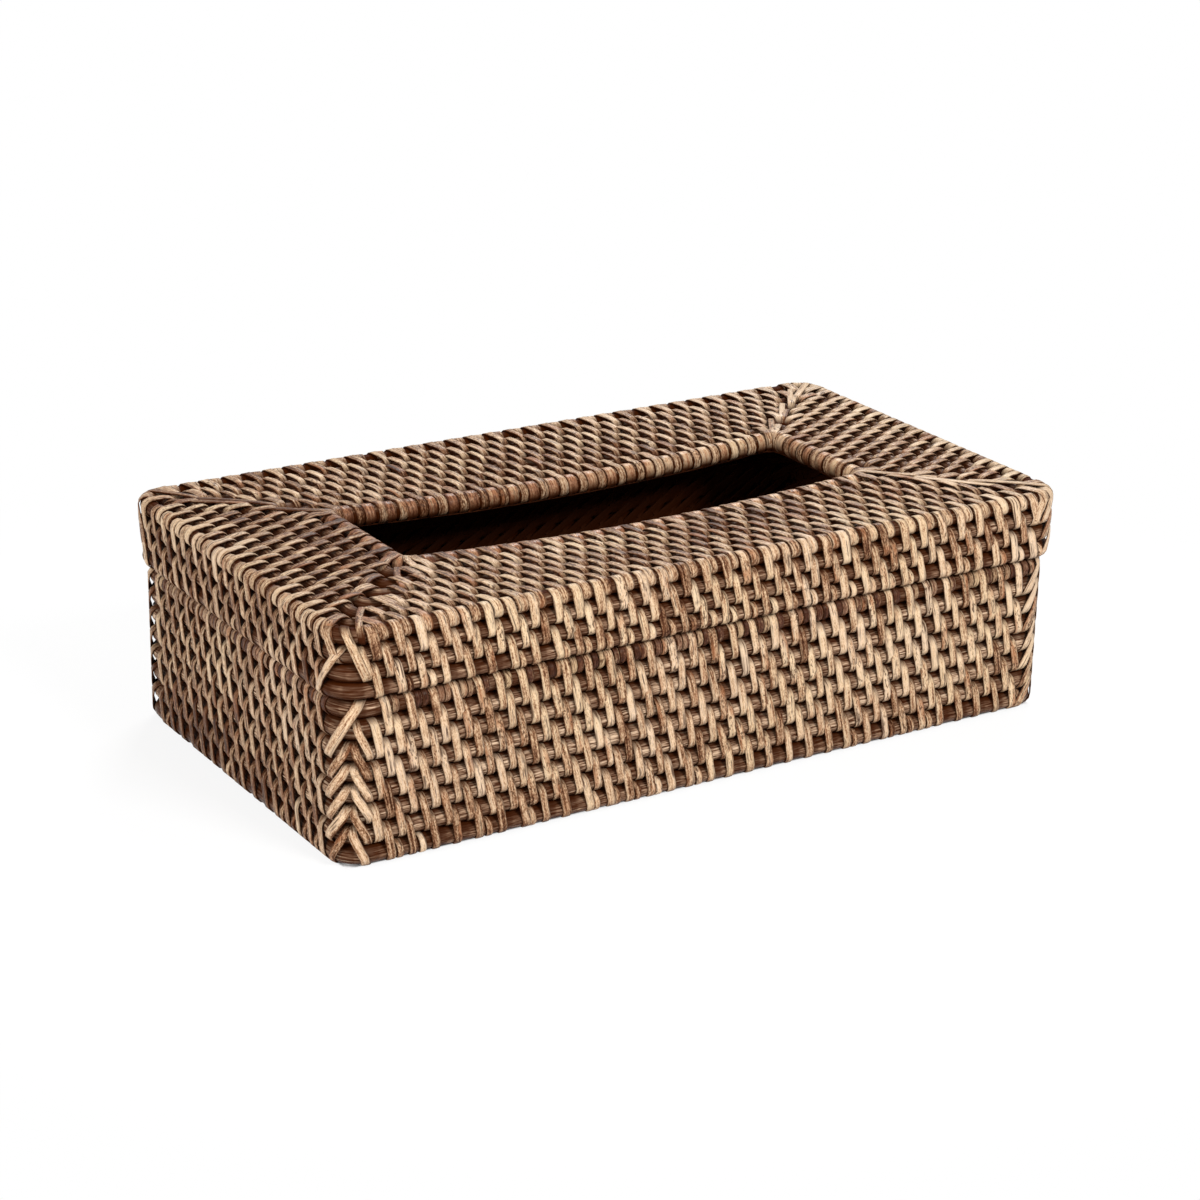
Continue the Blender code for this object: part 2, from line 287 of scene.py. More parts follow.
def cane_finish(name):
    """Stained cane: short pores and fibres run along it as light and dark lines, the crown is painted
    paler as a highlight, and shade is painted beside the stitches, where two canes meet and on the
    side out of sight."""
    finish, shader, n = new_finish(name)
    grain = n.attribute("grain")
    tone, hidden, phase = n.split(n.attribute("cast"))
    # Painted highlight: the cane's outward crown is made paler
    crown_highlight = n.split(grain)[1].between(HIGHLIGHT_START, HIGHLIGHT_END)
    fibres = n.noise(grain, FIBRE_SCALE, 3.0)
    patches = n.noise(grain, PATCH_SCALE, 2.0)
    pores = fibres.between(0.36, 0.48)
    level = tone - 0.14 + (patches - 0.5) * 1.1 + (fibres - 0.5) * 2.0 + 0.18 * crown_highlight
    colour = n.node("ShaderNodeValToRGB", {"stops": CANE_STOPS}, Fac=level)
    # Painted contact shadow on the bare cane next to each stitch, and painted shade where the hidden
    # share is high; the pores darken it as the cane's own grain
    stitch_shadow = n.maths("COSINE", phase * (2 * np.pi)).between(-0.8, 0.0)
    clear = (1 - hidden) * (0.3 + 0.7 * pores) * (1 - 0.55 * stitch_shadow)
    feed(shader, n, Base_Color=clear.blend(SHADE_COLOUR, colour),
         Roughness=0.5 - 0.2 * pores + 0.4 * hidden,
         Specular_IOR_Level=0.05, Specular_Tint=(1, 0.7, 0.5, 1),
         Normal=n.node("ShaderNodeBump", Strength=0.8, Distance=FIBRE_DEPTH, Height=fibres))
    return finish


# Brown stain of the cane, with painted shade and a painted highlight on it
brown_cane = cane_finish("brown_cane_stained_painted_shade")
draws = np.random.default_rng(41)


def cane_hoop(name, node, hoop, reach, tone, body, flat, number):
    """Section carried along the hoop's plan line, a little out of true as bent cane is.

    The section is round, with a low ridge on each flank out to its reach, so that the rows
    touch and no light comes through. Its size and its line wander by slow waves round the hoop.
    A reach that is the radius has no neighbour, and the painted shade lies only on the end of its
    flank; elsewhere it is painted in the groove where two rows touch, and over the inner side.
    Four draws are made for three waves, so that the later draws stay as they are.
    """
    table = plan_table(hoop)
    length = table["distance"][-1]
    back = length / 2
    even = np.linspace(HOOP_BUTT, length - HOOP_BUTT, int(length / RING_SPACING))
    s = np.sort(np.append(even, table["distance"][1:-1] - back + HOOP_BUTT))
    s = np.unique(np.mod(s, length).round(6))
    offsets = draws.uniform(0, 2 * np.pi, 4)
    waves = [np.sin(s * 2 * np.pi * k / length + offset) for k, offset in zip(HOOP_WAVES, offsets)]
    swell = 1 - SWELL_SHARE * (2 + waves[0] + waves[1])
    centre, normal = on_plan(table, s + back)
    centre = centre - normal * LINE_WANDER * (1 + waves[2])[:, None]
    centre[:, 2] = hoop["height"] - drop(hoop, centre[:, 0])
    angle = np.arange(CANE_SIDES) * 2 * np.pi / CANE_SIDES
    out, across = (UP, -normal) if flat else (normal, UP)
    out, across = (np.broadcast_to(way, normal.shape)[:, None] for way in (out, across))
    flank = np.abs(np.sin(angle))
    near = np.where(np.sin(angle) > 0, reach[0], reach[1])
    radius = swell[:, None] * hoop["radius"]
    ridge = (near - radius) * (near != hoop["radius"]) * flank ** RIDGE_POWER
    grid = (centre[:, None] + out * (np.cos(angle) * swell[:, None] * hoop["radius"])[..., None]
            + across * (np.sin(angle) * (radius + ridge))[..., None])
    start = draws.uniform(0, CANE_GRAIN_RUN)
    grain = np.stack(np.broadcast_arrays((s + start)[:, None], hoop["radius"] * np.cos(angle),
                                         hoop["radius"] * np.sin(angle) + start), -1)
    # Painted shade: dark in the groove where a flank meets the next row, at the end of an open flank,
    # and over the whole inner side
    open_flank = np.clip((flank - OPEN_SHADE_START) / OPEN_SHADE_RUN, 0, 1)
    touching_flank = np.clip((flank - TOUCHING_SHADE_START) / TOUCHING_SHADE_RUN, 0, 1)
    covered = np.where(near == hoop["radius"], open_flank, touching_flank)
    hidden = np.where(np.cos(angle) < INSIDE_SHADE_START, 1.0, covered)
    phase = stitch_phase(table, s + back, number)[:, None]
    cast = np.stack(np.broadcast_arrays(tone, hidden, phase), -1)
    placed(skin(name, grid, brown_cane, grain, cast), body, "brown_cane", node)


BASE_ROWS = 8
# The courses are numbered from the slot down, and this is the first one of the base
BASE_COURSE = 11
base_nodes = ["base_rim_cane"] + [f"base_cane_{row}" for row in range(2, BASE_ROWS + 1)]
base_hoops = [hoop_of(node, BASE_CORNER, BASE_CANE_RADIUS, BASE_SWELL) for node in base_nodes]
BASE_TONES = [0.42, 0.5, 0.58, 0.64, 0.64, 0.62, 0.56, 0.36]
base_reach = (base_hoops[0]["height"] - base_hoops[1]["height"]) / 2 + ROW_OVERLAP
for row, (node, hoop, tone) in enumerate(zip(base_nodes, base_hoops, BASE_TONES)):
    above = base_reach if row else hoop["radius"]
    below = base_reach if row < BASE_ROWS - 1 else hoop["radius"]
    cane_hoop(node + "_bent", node, hoop, (above, below), tone, "base", False, BASE_COURSE + row)


# Strip that binds the base's rows. Each is the peel of a rattan cane, split to under 3 mm,
# crowned outside and flat inside, wound round two neighbouring canes and drawn tight. The
# stitches lean a little, and on the corners between the laced ones they lean the other way.
STRIP_WIDTH = 0.0028
STRIP_THICKNESS = 0.00042
# A strip's grain starts at random within this many metres
STRIP_GRAIN_RUN = 50
# Clearance under the strip, how much further it stands off the upper cane, and its wander
STRIP_LIFT = 0.00002
UPPER_PROUD = 0.00008
PROUD_WANDER = 0.00003
# How far the strip bows out between two canes: on a wall, on the flat top at least and at most,
# and the height over the canes' middles that it bows to there
BOW = 0.00006
FLAT_BOW_LEAST = 0.00022
FLAT_BOW = 0.00045
FLAT_CREST = 0.0027
# Lean of a stitch along its row, from the upper cane to the lower one, and its wander
STITCH_LEAN = 0.0026
LEAN_WANDER = 0.0004
PLACE_WANDER = 0.00025
WIDTH_WANDER = 0.08
CHEVRON_LEAN = 0.0055
CHEVRON_WIDTH = 0.0034
CHEVRON_PLACE_WANDER = 0.0002
CHEVRON_WIDTH_WANDER = 0.06
# Least distance between a corner's stitch and a regular one, and the room that regular stitches
# and turns leave at the start and the end of a side
ROOM = 0.0042
FLAT_MARGINS = (0.0002, 0.0012)
WALL_MARGINS = (0.0002, 0.002)
TURN_MARGINS = (0.0012, 0.002)
# Places and heights round the strip's section, as shares of its width and thickness, and how
# much painted shade lies there, under the strip and as dark lines along its edges
SECTION_ACROSS_SHARES = np.array([-0.5, 0.5, 0.5, 0.42, 0.21, 0.0, -0.21, -0.42, -0.5])
SECTION_HEIGHT_SHARES = np.array([0.0, 0.0, 0.45, 0.86, 0.97, 1.0, 0.97, 0.86, 0.45])
SECTION_SHADE_SHARES = np.array([1, 1, 1, 0.42, 0, 0, 0, 0.22, 0.9])
# A stitch's route has 17 points: 7 over the upper cane, 2 on the crossing, 7 under the lower
# cane, and 1 on the way back. How far each is from the upper cane to the lower one, how far it
# has drifted along the lean, how much it stands off, how much it bows, and how wide it is by
# the upper cane's width
HALF_TURN_POINTS = 7
TURN_POINTS = 13
CROSSING_SHARES = np.concatenate([np.zeros(7), [0.33, 0.67], np.ones(7), [0.5]])
DRIFT_SHARES = np.array([-0.06, -0.04, -0.02, 0, 0.07, 0.14, 0.22, 0.4, 0.58, 0.76, 0.84, 0.92,
                         1, 1.02, 1.04, 1.06, 0.5])
PROUD_SHARES = np.concatenate([[0, 0], np.ones(5), [0.7, 0.3], np.zeros(8)])
BOW_SHARES = np.concatenate([np.zeros(5), [0.25, 0.65, 1, 1, 0.65, 0.25], np.zeros(6)])
UPPER_SHARES = np.concatenate([np.ones(7), [0.67, 0.33], np.zeros(8)])
# How much painted shade lies at each point of a route on a wall and on the flat top, where it
# goes between and behind the canes, over an upper cane and under a lower one that lie open, and
# at the 13 points of a turn round one cane
ROUTE_SHADE_SHARES = np.array([1, 1, 1, 0.95, 0.65, 0.2, 0, 0.05, 0.05, 0, 0.28, 0.72, 1, 1, 1, 1, 1])
FLAT_SHADE_SHARES = np.array([1, 1, 1, 1, 0.8, 0.3, 0.02, 0, 0, 0.1, 0.42, 0.82, 1, 1, 1, 1, 1])
OPEN_TOP_SHARES = np.array([1, 0.8, 0.4, 0.05, 0, 0, 0, 0.05])
RIM_TOP_SHARES = np.array([1, 1, 1, 0.8, 0.3, 0, 0, 0.05])
OPEN_FOOT_SHARES = np.array([0.05, 0, 0, 0, 0.1, 0.3, 0.7, 1, 1])
TURN_SHADE_SHARES = np.array([1, 1, 1, 0.6, 0.15, 0, 0, 0, 0.15, 0.6, 1, 1, 1])
RIM_TURN_SHARES = np.array([1, 1, 1, 1, 0.6, 0.05, 0, 0, 0.2, 0.8, 1, 1, 1])
FOOT_TURN_SHARES = RIM_TURN_SHARES[::-1]
# Colours from the darkest to the palest peel, and of the places that are ruddy or like straw
STRIP_STOPS = [(0.0, (0.036, 0.011, 0.004)), (0.15, (0.11, 0.045, 0.021)),
               (0.3, (0.23, 0.118, 0.062)), (0.45, (0.40, 0.245, 0.142)),
               (0.6, (0.55, 0.38, 0.24)), (0.78, (0.68, 0.49, 0.325)),
               (0.9, (0.62, 0.46, 0.33)), (1.0, (0.54, 0.395, 0.275))]
RUDDY = (0.33, 0.135, 0.06, 1)
STRAW = (0.66, 0.50, 0.27, 1)
STRAW_SHARE = 0.26
STRAW_SCALE = 26.0
PEEL_FIBRE_SCALE = (60, 1500, 700)
BLOTCH_SCALE = (190, 420, 420)
FINE_SCALE = (1500, 3200, 1500)
FLECK_SCALE = (700, 1600, 900)
RUDDY_SCALE = (90, 300, 300)


def strip_finish(name, stops, roughness, gloss):
    """Peeled skin of rattan: fibres lengthwise, dark flecks and fine grain, straw and ruddy places,
    painted shade along the edges and in the low places, and a soft gloss."""
    finish, shader, n = new_finish(name)
    grain = n.attribute("grain")
    place = n.node("ShaderNodeTexCoord", out=3)
    tone, flecked, hidden = n.split(n.attribute("cast"))
    fibres = n.noise(grain, PEEL_FIBRE_SCALE, 2.5)
    blotches = n.noise(grain, BLOTCH_SCALE, 3.0)
    fine = n.noise(grain, FINE_SCALE, 1.0)
    flecks = n.noise(grain, FLECK_SCALE, 1.0).between(0.57, 0.64)
    level = tone + (blotches - 0.5) * 0.7 + (fibres - 0.5) * 1.5 + (fine - 0.5) * 0.9
    colour = n.node("ShaderNodeValToRGB", {"stops": stops}, Fac=level)
    straw = n.noise(place, STRAW_SCALE, 1.0).between(0.42, 0.62) * level.between(0.35, 0.75)
    colour = (straw * STRAW_SHARE).blend(colour, STRAW)
    marked = flecked.between(0.2, 0.9)
    ruddy = n.noise(grain, RUDDY_SCALE, 1.0).between(0.5, 0.68) * marked
    # Towards the painted shade colour: dark fibre streaks and flecks, which are the peel's own, and
    # painted shade where the hidden share is high
    clear = (1 - 0.8 * fibres.between(0.54, 0.64) * blotches.between(0.42, 0.6)) * (1 - hidden)
    clear = clear * (1 - 0.75 * flecks * marked)
    feed(shader, n, Base_Color=clear.blend(SHADE_COLOUR, (0.6 * ruddy).blend(colour, RUDDY)),
         Roughness=roughness + 0.25 * (blotches - 0.5) + 0.4 * hidden,
         Specular_IOR_Level=gloss, Specular_Tint=(1, 0.85, 0.7, 1),
         Normal=n.node("ShaderNodeBump", Strength=0.8, Distance=FIBRE_DEPTH, Height=fibres))
    return finish


split_strip = strip_finish("split_strip_peel", STRIP_STOPS, 0.34, 0.08)


# Added to a way's slopes, so that nothing is divided by zero
LEAST_SLOPE = 1e-9


def to_hoop(hoop, point, normal):
    """How far outwards, along the normals, a hoop's plan line is from points inside it: the
    nearer of its two straight sides, or the corner's quarter circle where the way meets that.
    """
    place, way = np.abs(point[..., :2]), np.abs(normal[..., :2]) + LEAST_SLOPE
    half = np.array([hoop["half_length"], hoop["half_width"]])
    side = ((half - place) / way).min(-1)
    start = place - half + hoop["corner"]
    along = (start * way).sum(-1)
    root = along ** 2 - (start ** 2).sum(-1) + hoop["corner"] ** 2
    circle = np.sqrt(np.maximum(root, 0)) - along
    inside = (start + circle[..., None] * way).min(-1) > 0
    return np.where((root > 0) & inside, circle, side)


def stitch_path(table, upper, lower, s, lean, proud, flat, bow=None):
    """The strip's route round two canes, stitch after stitch, as underside points and facings.

    Seen from one end, it climbs from behind the upper cane over it in a half circle, runs
    nearly straight down to the lower cane, goes under that in another half circle, and comes
    back up behind to the next stitch. Along the row it drifts by its lean from the top to the
    bottom. v counts down from each cane's middle, and w outwards from it.
    """
    half = np.linspace(0, np.pi, HALF_TURN_POINTS)
    sine, cosine = np.sin(half), np.cos(half)
    first, second = upper["radius"] + STRIP_LIFT, lower["radius"] + STRIP_LIFT
    middle = (first + second) / 2
    v = np.concatenate([-sine[::-1] * first, [0, 0], sine * second, [0]])
    w = np.concatenate([cosine[::-1] * first, [middle, middle], cosine * second, [-middle]])
    face_v = np.concatenate([-sine[::-1], [0, 0], sine, [0]])
    face_w = np.concatenate([cosine[::-1], [1, 1], cosine, [-1]])
    if bow is None:
        bow = np.clip(FLAT_CREST - middle, FLAT_BOW_LEAST, FLAT_BOW) if flat else BOW
    place = s[:, None] + lean[:, None] * DRIFT_SHARES
    place[:, -1] = (s + lean + np.append(s[1:], s[-1])) / 2
    point, normal = on_plan(table, place)
    w = w + PROUD_SHARES * proud[:, None] + BOW_SHARES * bow
    if flat:
        across = to_hoop(lower, point, normal)
        level = ((1 - CROSSING_SHARES) * (upper["height"] - drop(upper, point[..., 0]))
                 + CROSSING_SHARES * (lower["height"] - drop(lower, point[..., 0])))
        down, out = normal, UP
    else:
        across = upper["height"] - lower["height"]
        level = upper["height"]
        down, out = -UP, normal
    point = point + down * (v + CROSSING_SHARES * across)[..., None] + out * w[..., None]
    point[..., 2] += level
    facing = down * face_v[:, None] + out * face_w[:, None]
    return point, np.broadcast_to(facing, point.shape)


def unit(v):
    """Vectors of length one that point the same way."""
    return v / np.linalg.norm(v, axis=-1, keepdims=True)


def strip_skin(name, point, facing, width, tone, flecked, behind, finish):
    """Crowned section carried along a route of several points a stitch, square to it, with its
    flat on the cane. Its edges and what lies behind the canes are painted dark as shade."""
    stitches, samples = point.shape[:2]
    point, facing = point.reshape(-1, 3), facing.reshape(-1, 3)
    width = np.broadcast_to(width, (stitches, samples)).ravel()
    step = np.gradient(point, axis=0)
    along = unit(step)
    across = unit(np.cross(facing, along))
    out = np.cross(along, across)
    reach = SECTION_ACROSS_SHARES * width[:, None]
    rise = SECTION_HEIGHT_SHARES * STRIP_THICKNESS
    grid = point[:, None] + across[:, None] * reach[..., None] + out[:, None] * rise[:, None]
    length = np.cumsum(np.linalg.norm(step, axis=1)) + draws.uniform(0, STRIP_GRAIN_RUN)
    grain = np.stack(np.broadcast_arrays(length[:, None], reach, rise), -1)
    hidden = np.maximum(np.tile(behind, stitches)[:, None], SECTION_SHADE_SHARES)
    tones = np.broadcast_to(tone, (stitches, samples)).reshape(-1, 1)
    cast = np.stack(np.broadcast_arrays(tones, np.repeat(flecked, samples)[:, None], hidden), -1)
    return skin(name, grid, finish, grain, cast)


# How far the stitches' tones spread, how many stitches a run has, and the share of odd ones
TONE_SPREAD = 0.2
TONE_RUN = 12
ODD_SHARE = 0.06


def strip_tones(count, middle):
    """Tone and fleck number of each stitch: a strip keeps its tone for a run of stitches, a
    moving mean of random numbers, and a few odd ones fall out of it."""
    run = np.ones(TONE_RUN) / TONE_RUN ** 0.5
    slow = np.convolve(draws.normal(0, 1, count + TONE_RUN), run, "valid")[:count]
    tone = middle + TONE_SPREAD * (0.4 * slow + 0.45 * draws.normal(0, 1, count))
    odd = draws.random(count) < ODD_SHARE
    tone = np.where(odd, draws.uniform(0.12, 0.42, count), tone)
    return np.clip(tone, 0.04, 1), draws.random(count)


def corner_middles(table):
    """Distances along a plan line of the middles of its four corners, the front right one first."""
    distance = table["distance"]
    return (distance[1::CORNER_RINGS][:4] + distance[CORNER_RINGS::CORNER_RINGS][:4]) / 2


def side_places(table, margins, number):
    """Stitch places on the four straight sides, anticlockwise, as one list for each side.

    They are a period apart, counted from the side's middle, and each course's are half a period
    on from the last one's. They keep the two margins from the side's start and end.
    """
    before, after = margins
    places = []
    for start, end in zip(*sides_of(table)):
        middle = (start + end) / 2 + np.mod(number, 2) * STITCH_PERIOD / 2
        count = np.arange(np.ceil((start + before - middle) / STITCH_PERIOD),
                          np.floor((end - after - middle) / STITCH_PERIOD) + 1)
        places.append(middle + count * STITCH_PERIOD)
    return places


# How much paler a course is at the right end than in the middle
RIGHT_PALE = 0.04


def lashing(name, upper, lower, number, flat, body, middle, corners,
            top_width=STRIP_WIDTH, foot_width=STRIP_WIDTH, top_shares=None, open_foot=False,
            right_pale=RIGHT_PALE, front_pale=0, top_dark=0):
    """One course: regular stitches on the sides, and at each corner those that its list gives as
    pairs of an offset from the corner's middle and a lean, where the regular ones leave room. It
    is paler towards the right and the front, and darker on its upper cane, by the shares given.
    """
    table = plan_table(upper)
    s, lean, wide = [], [], []
    sides = side_places(table, FLAT_MARGINS if flat else WALL_MARGINS, number)
    taken = np.concatenate(sides)
    taken = np.append(taken, taken + table["distance"][-1])
    for side, corner, extra in zip(sides, corner_middles(table), corners):
        count = len(side)
        extra = np.array(extra).reshape(-1, 2)
        extra = extra[np.abs(corner + extra[:, :1] - taken).min(-1) > ROOM]
        s.append(side + draws.normal(0, PLACE_WANDER, count))
        lean.append(draws.normal(STITCH_LEAN, LEAN_WANDER, count))
        wide.append(draws.normal(1, WIDTH_WANDER, count) * STRIP_WIDTH)
        s.append(corner + extra[:, 0] + draws.normal(0, CHEVRON_PLACE_WANDER, len(extra)))
        lean.append(extra[:, 1] * draws.normal(1, WIDTH_WANDER, len(extra)))
        wide.append(draws.normal(1, CHEVRON_WIDTH_WANDER, len(extra)) * CHEVRON_WIDTH)
    s, lean, wide = (np.concatenate(a)[::-1] for a in (s, lean, wide))
    proud = UPPER_PROUD + draws.uniform(-PROUD_WANDER, PROUD_WANDER, len(s))
    point, facing = stitch_path(table, upper, lower, s, lean, proud, flat)
    width = UPPER_SHARES * top_width + (1 - UPPER_SHARES) * foot_width
    width = wide[:, None] * width / STRIP_WIDTH
    tone, flecked = strip_tones(len(s), middle)
    crest = point[:, HALF_TURN_POINTS - 1]
    tone += (right_pale * crest[:, 0] / upper["half_length"]
             - front_pale * crest[:, 1] / upper["half_width"])
    tone = tone[:, None] - top_dark * UPPER_SHARES
    # Painted shade along each stitch's route, lighter at a top or foot that lies open
    shade_shares = (FLAT_SHADE_SHARES if flat else ROUTE_SHADE_SHARES).copy()
    if top_shares is not None:
        shade_shares[:len(top_shares)] = top_shares
    if open_foot:
        shade_shares[-len(OPEN_FOOT_SHARES):] = OPEN_FOOT_SHARES
    piece = strip_skin(name + "_strip", point, facing, width, tone, flecked, shade_shares, split_strip)
    placed(piece, body, "split_strip", name)


# Offset from the middle of a corner between the laced ones, and lean, of each stitch there
SLANTS = [(-0.0006, -CHEVRON_LEAN), (0.0048, -CHEVRON_LEAN)]
BASE_STRIP_TONES = [0.52, 0.52, 0.52, 0.52, 0.5, 0.46, 0.42]
for k, middle in enumerate(BASE_STRIP_TONES):
    lashing(f"base_lashing_{k + 1}", base_hoops[k], base_hoops[k + 1], BASE_COURSE + k, False,
            "base", middle, [SLANTS, [], SLANTS, []],
            top_shares=None if k else RIM_TOP_SHARES, front_pale=0.09)


# Lacing of the base: on two opposite corners short strips, each bound over two rows or three,
# lean apart from one line down the corner and lie over one another.
# First row, last row, offset, lean, width, tone and bow of each
LACING = [(0, 2, 0.0040, -0.0100, 0.0034, 0.6, 0.0007), (2, 3, 0.0010, -0.0056, 0.0028, 0.4, 0.0007),
          (3, 4, 0.0008, -0.0060, 0.0031, 0.56, 0.0008), (4, 5, 0.0008, -0.0058, 0.0029, 0.46, 0.0007),
          (5, 6, 0.0008, -0.0062, 0.0032, 0.56, 0.0008), (6, 7, 0.0004, -0.0048, 0.0026, 0.3, 0.0006),
          (1, 2, 0.0020, 0.0040, 0.0025, 0.6, 0.0003), (2, 3, 0.0014, 0.0042, 0.0028, 0.22, 0.0003),
          (3, 4, 0.0012, 0.0046, 0.0028, 0.62, 0.0004), (4, 5, 0.0012, 0.0050, 0.0028, 0.64, 0.0003),
          (5, 6, 0.0010, 0.0044, 0.0027, 0.42, 0.0004), (6, 7, 0.0008, 0.0040, 0.0029, 0.62, 0.0003)]


def binding(name, upper, lower, corner, offset, lean, width, tone, flat, body, bow=None):
    """A single stitch at one corner, outside the courses, from one row to any other."""
    table = plan_table(upper)
    s = corner_middles(table)[corner] + np.array([offset])
    proud = np.array([UPPER_PROUD])
    point, facing = stitch_path(table, upper, lower, s, np.array([lean]), proud, flat, bow)
    piece = strip_skin(name, point, facing, np.array([[width]]), np.array([[tone]]),
                       draws.random(1), ROUTE_SHADE_SHARES, split_strip)
    placed(piece, body, "split_strip")


for corner in (1, 3):
    for k, (first, last, *shape, bow) in enumerate(LACING):
        binding(f"base_corner_{corner}_{k + 1}", base_hoops[first], base_hoops[last], corner,
                *shape, False, "base", bow)


# Short turns of dark strip on the base's rim, between the stitches, where the rim is bound to the
# hoop inside it, and pale ones on the bottom row, where the lowest course is made fast.
RIM_STOPS = [(0.0, (0.026, 0.008, 0.004)), (0.4, (0.085, 0.034, 0.020)),
             (0.7, (0.19, 0.098, 0.058)), (1.0, (0.40, 0.26, 0.16))]
TURN_WIDTH_WANDER = 0.07
# Distance from a stitch, and width, of the two sets of turns on the rim, and their lean
RIM_TURN_OFFSET = 0.0030
RIM_TURN_WIDTH = 0.0023
SECOND_TURN_OFFSET = 0.0053
SECOND_TURN_WIDTH = 0.0020
SECOND_TURN_SHARE = 0.6
RIM_TURN_LEAN = 0.0009
FOOT_TURN_OFFSET = 0.0037
FOOT_TURN_WIDTH = 0.0022
FOOT_TURN_SHARE = 0.6
FOOT_TURN_LEAN = 0.0024
rim_strip = strip_finish("rim_strip_dark", RIM_STOPS, 0.26, 0.07)


def turn_path(table, hoop, s, lean, flat):
    """The strip's route round a single cane, turn after turn: a circle from behind over the top,
    down the front and back behind, that drifts along the row by its lean."""
    angle = np.linspace(-np.pi, np.pi, TURN_POINTS)
    place = s[:, None] + lean[:, None] * (angle / (2 * np.pi) + 0.5)
    point, normal = on_plan(table, place)
    down, out = (normal, UP) if flat else (-UP, normal)
    facing = down * np.sin(angle)[:, None] + out * np.cos(angle)[:, None]
    level = hoop["height"] - drop(hoop, point[..., 0])
    point = point + facing * (hoop["radius"] + STRIP_LIFT)
    point[..., 2] += level
    return point, facing


def turns(name, hoop, s, lean, width, tone, finish, flat, body, shares=TURN_SHADE_SHARES):
    """One strip wound round a single cane at the places given, clockwise."""
    order = np.argsort(-s)
    s = s[order]
    point, facing = turn_path(plan_table(hoop), hoop, s, np.full(len(s), lean), flat)
    wide = width * draws.normal(1, TURN_WIDTH_WANDER, len(s))
    piece = strip_skin(name, point, facing, wide[:, None], tone[order][:, None],
                       draws.random(len(s)), shares, finish)
    placed(piece, body, "split_strip")


def places_on(hoop, number):
    """Places beside a course's stitches on one hoop, as a single row."""
    return np.concatenate(side_places(plan_table(hoop), TURN_MARGINS, number))


rim_places = places_on(base_hoops[0], BASE_COURSE)
turns("base_rim_turns_a", base_hoops[0], rim_places + RIM_TURN_OFFSET, RIM_TURN_LEAN, RIM_TURN_WIDTH,
      draws.uniform(0.1, 1, len(rim_places)), rim_strip, False, "base", RIM_TURN_SHARES)
rim_places = rim_places[draws.random(len(rim_places)) < SECOND_TURN_SHARE]
turns("base_rim_turns_b", base_hoops[0], rim_places + SECOND_TURN_OFFSET, RIM_TURN_LEAN,
      SECOND_TURN_WIDTH, draws.uniform(0.1, 1, len(rim_places)), rim_strip, False, "base",
      RIM_TURN_SHARES)
foot_places = places_on(base_hoops[-1], BASE_COURSE + BASE_ROWS - 2)
foot_places = foot_places[draws.random(len(foot_places)) < FOOT_TURN_SHARE]
turns("base_foot_turns", base_hoops[-1], foot_places + FOOT_TURN_OFFSET, FOOT_TURN_LEAN,
      FOOT_TURN_WIDTH, np.clip(draws.normal(0.35, 0.2, len(foot_places)), 0.05, 1), split_strip,
      False, "base")


# Hoop inside the base's rim, which centres the lid, and the floor of straight canes laid side by
# side. They are of thinner cane, left dull, and show only when the lid is off.
CANE_RADIUS = 0.0024
LOCATING_CORNER = 0.0035
LOCATING_TONE = 0.4
FLOOR_CANES = 21
FLOOR_CANE_STEPS = 40
FLOOR_CANE_SIDES = 10
FLOOR_SWELL_SHARE = 0.03
FLOOR_WAVE_RANGE = (60, 90)
# Painted shade over the floor canes, which lie in shade inside the base
FLOOR_SHADE_SHARE = 0.85
locating = hoop_of("base_locating_cane", LOCATING_CORNER, CANE_RADIUS, 0)
cane_hoop("base_locating_cane_bent", "base_locating_cane", locating, (CANE_RADIUS, CANE_RADIUS),
          LOCATING_TONE, "base", False, 0)


def floor_cane(name, node, tone):
    """Round section carried along a straight line from end to end of the solid's box. Its radius
    wavers by a sine along the line."""
    low, high = (np.array(c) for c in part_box(node))
    x = np.linspace(low[0], high[0], FLOOR_CANE_STEPS)
    angle = np.arange(FLOOR_CANE_SIDES) * 2 * np.pi / FLOOR_CANE_SIDES
    waver = 1 - FLOOR_SWELL_SHARE * (1 + np.sin(x * draws.uniform(*FLOOR_WAVE_RANGE)))
    radius = (high[2] - low[2]) / 2 * waver
    middle = (low + high) / 2
    grid = np.stack(np.broadcast_arrays(x[:, None], middle[1] - radius[:, None] * np.sin(angle),
                                        middle[2] + radius[:, None] * np.cos(angle)), -1)
    start = draws.uniform(0, CANE_GRAIN_RUN)
    grain = grid + np.array([start, 0, start])
    cast = np.array([tone, FLOOR_SHADE_SHARE, 0.5])
    placed(skin(name, grid, brown_cane, grain, cast), "base", "floor_cane", node)


for k in range(FLOOR_CANES):
    floor_cane(f"floor_cane_{k + 1}_laid", f"floor_cane_{k + 1}", draws.uniform(0.3, 0.5))


# Canes of the lid: seven hoops lie flat round the slot, mitred at the corners and sagging along
# their long sides, one turns the edge, and three make the side that hangs over the base's rim.
# The hoop round the slot is the stoutest.
LID_CORNER = 0.0078
SLOT_CANE_RADIUS = 0.0031
MITRE_INNER_RADIUS = 0.0014
LID_SWELL = 0.00002
TOP_SWELL = -0.00025
TOP_ROWS = 7
SIDE_ROWS = 3
